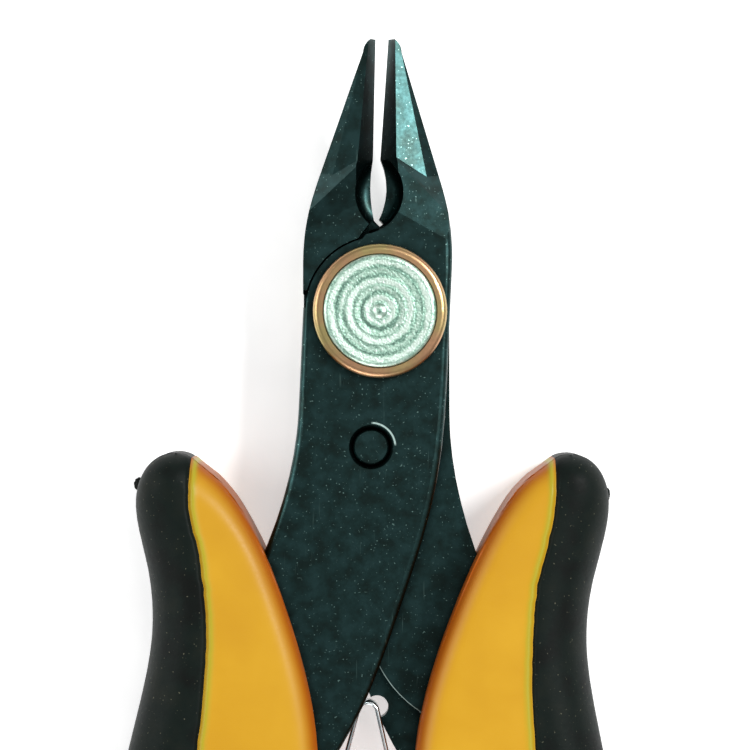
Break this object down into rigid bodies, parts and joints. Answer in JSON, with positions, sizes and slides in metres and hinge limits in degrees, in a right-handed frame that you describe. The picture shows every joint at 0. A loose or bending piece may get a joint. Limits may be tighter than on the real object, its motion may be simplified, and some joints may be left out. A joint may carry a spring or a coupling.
{
  "type": "diagonal cutting pliers",
  "caption": "Slim flush-cutting pliers with a lapped steel joint, spun pivot rivet, hairpin return spring and two-tone bowed grips.",
  "frame": {"origin": "on the pivot axis, at the flat rear face of the pivot rivet", "axes": "+Y from the pivot towards the jaw tips, +Z out of the front along the pivot axis, +X to the right seen from the front"},
  "size_m": [0.0441, 0.1374, 0.011],
  "materials": {
    "blackened_steel": "satin",
    "rivet_steel": "satin",
    "copper_ring": "satin",
    "bush_bronze": "satin",
    "spring_steel": "polished",
    "yellow_plastic": "satin",
    "black_rubber": "matte"
  },
  "bodies": {
    "lower_side": {"lower_half": "blackened_steel", "pivot_rivet": "rivet_steel", "front_ring": "copper_ring", "rear_ring": "copper_ring", "return_spring": "spring_steel", "right_grip_core": "yellow_plastic", "right_grip_cover": "black_rubber"},
    "upper_side": {"upper_half": "blackened_steel", "pivot_bush": "bush_bronze", "stop_pin": "blackened_steel", "left_grip_core": "yellow_plastic", "left_grip_cover": "black_rubber"}
  },
  "joints": [
    {"name": "jaw_pivot", "type": "hinge", "parent": "lower_side", "child": "upper_side", "pos_m": [0, 0, 0.00422], "axis": [0, 0, 1], "range_deg": [-12, 2.6], "stiffness_Nm_per_rad": 1.5, "springref_deg": -12.03, "deforming": ["return_spring"]}
  ]
}
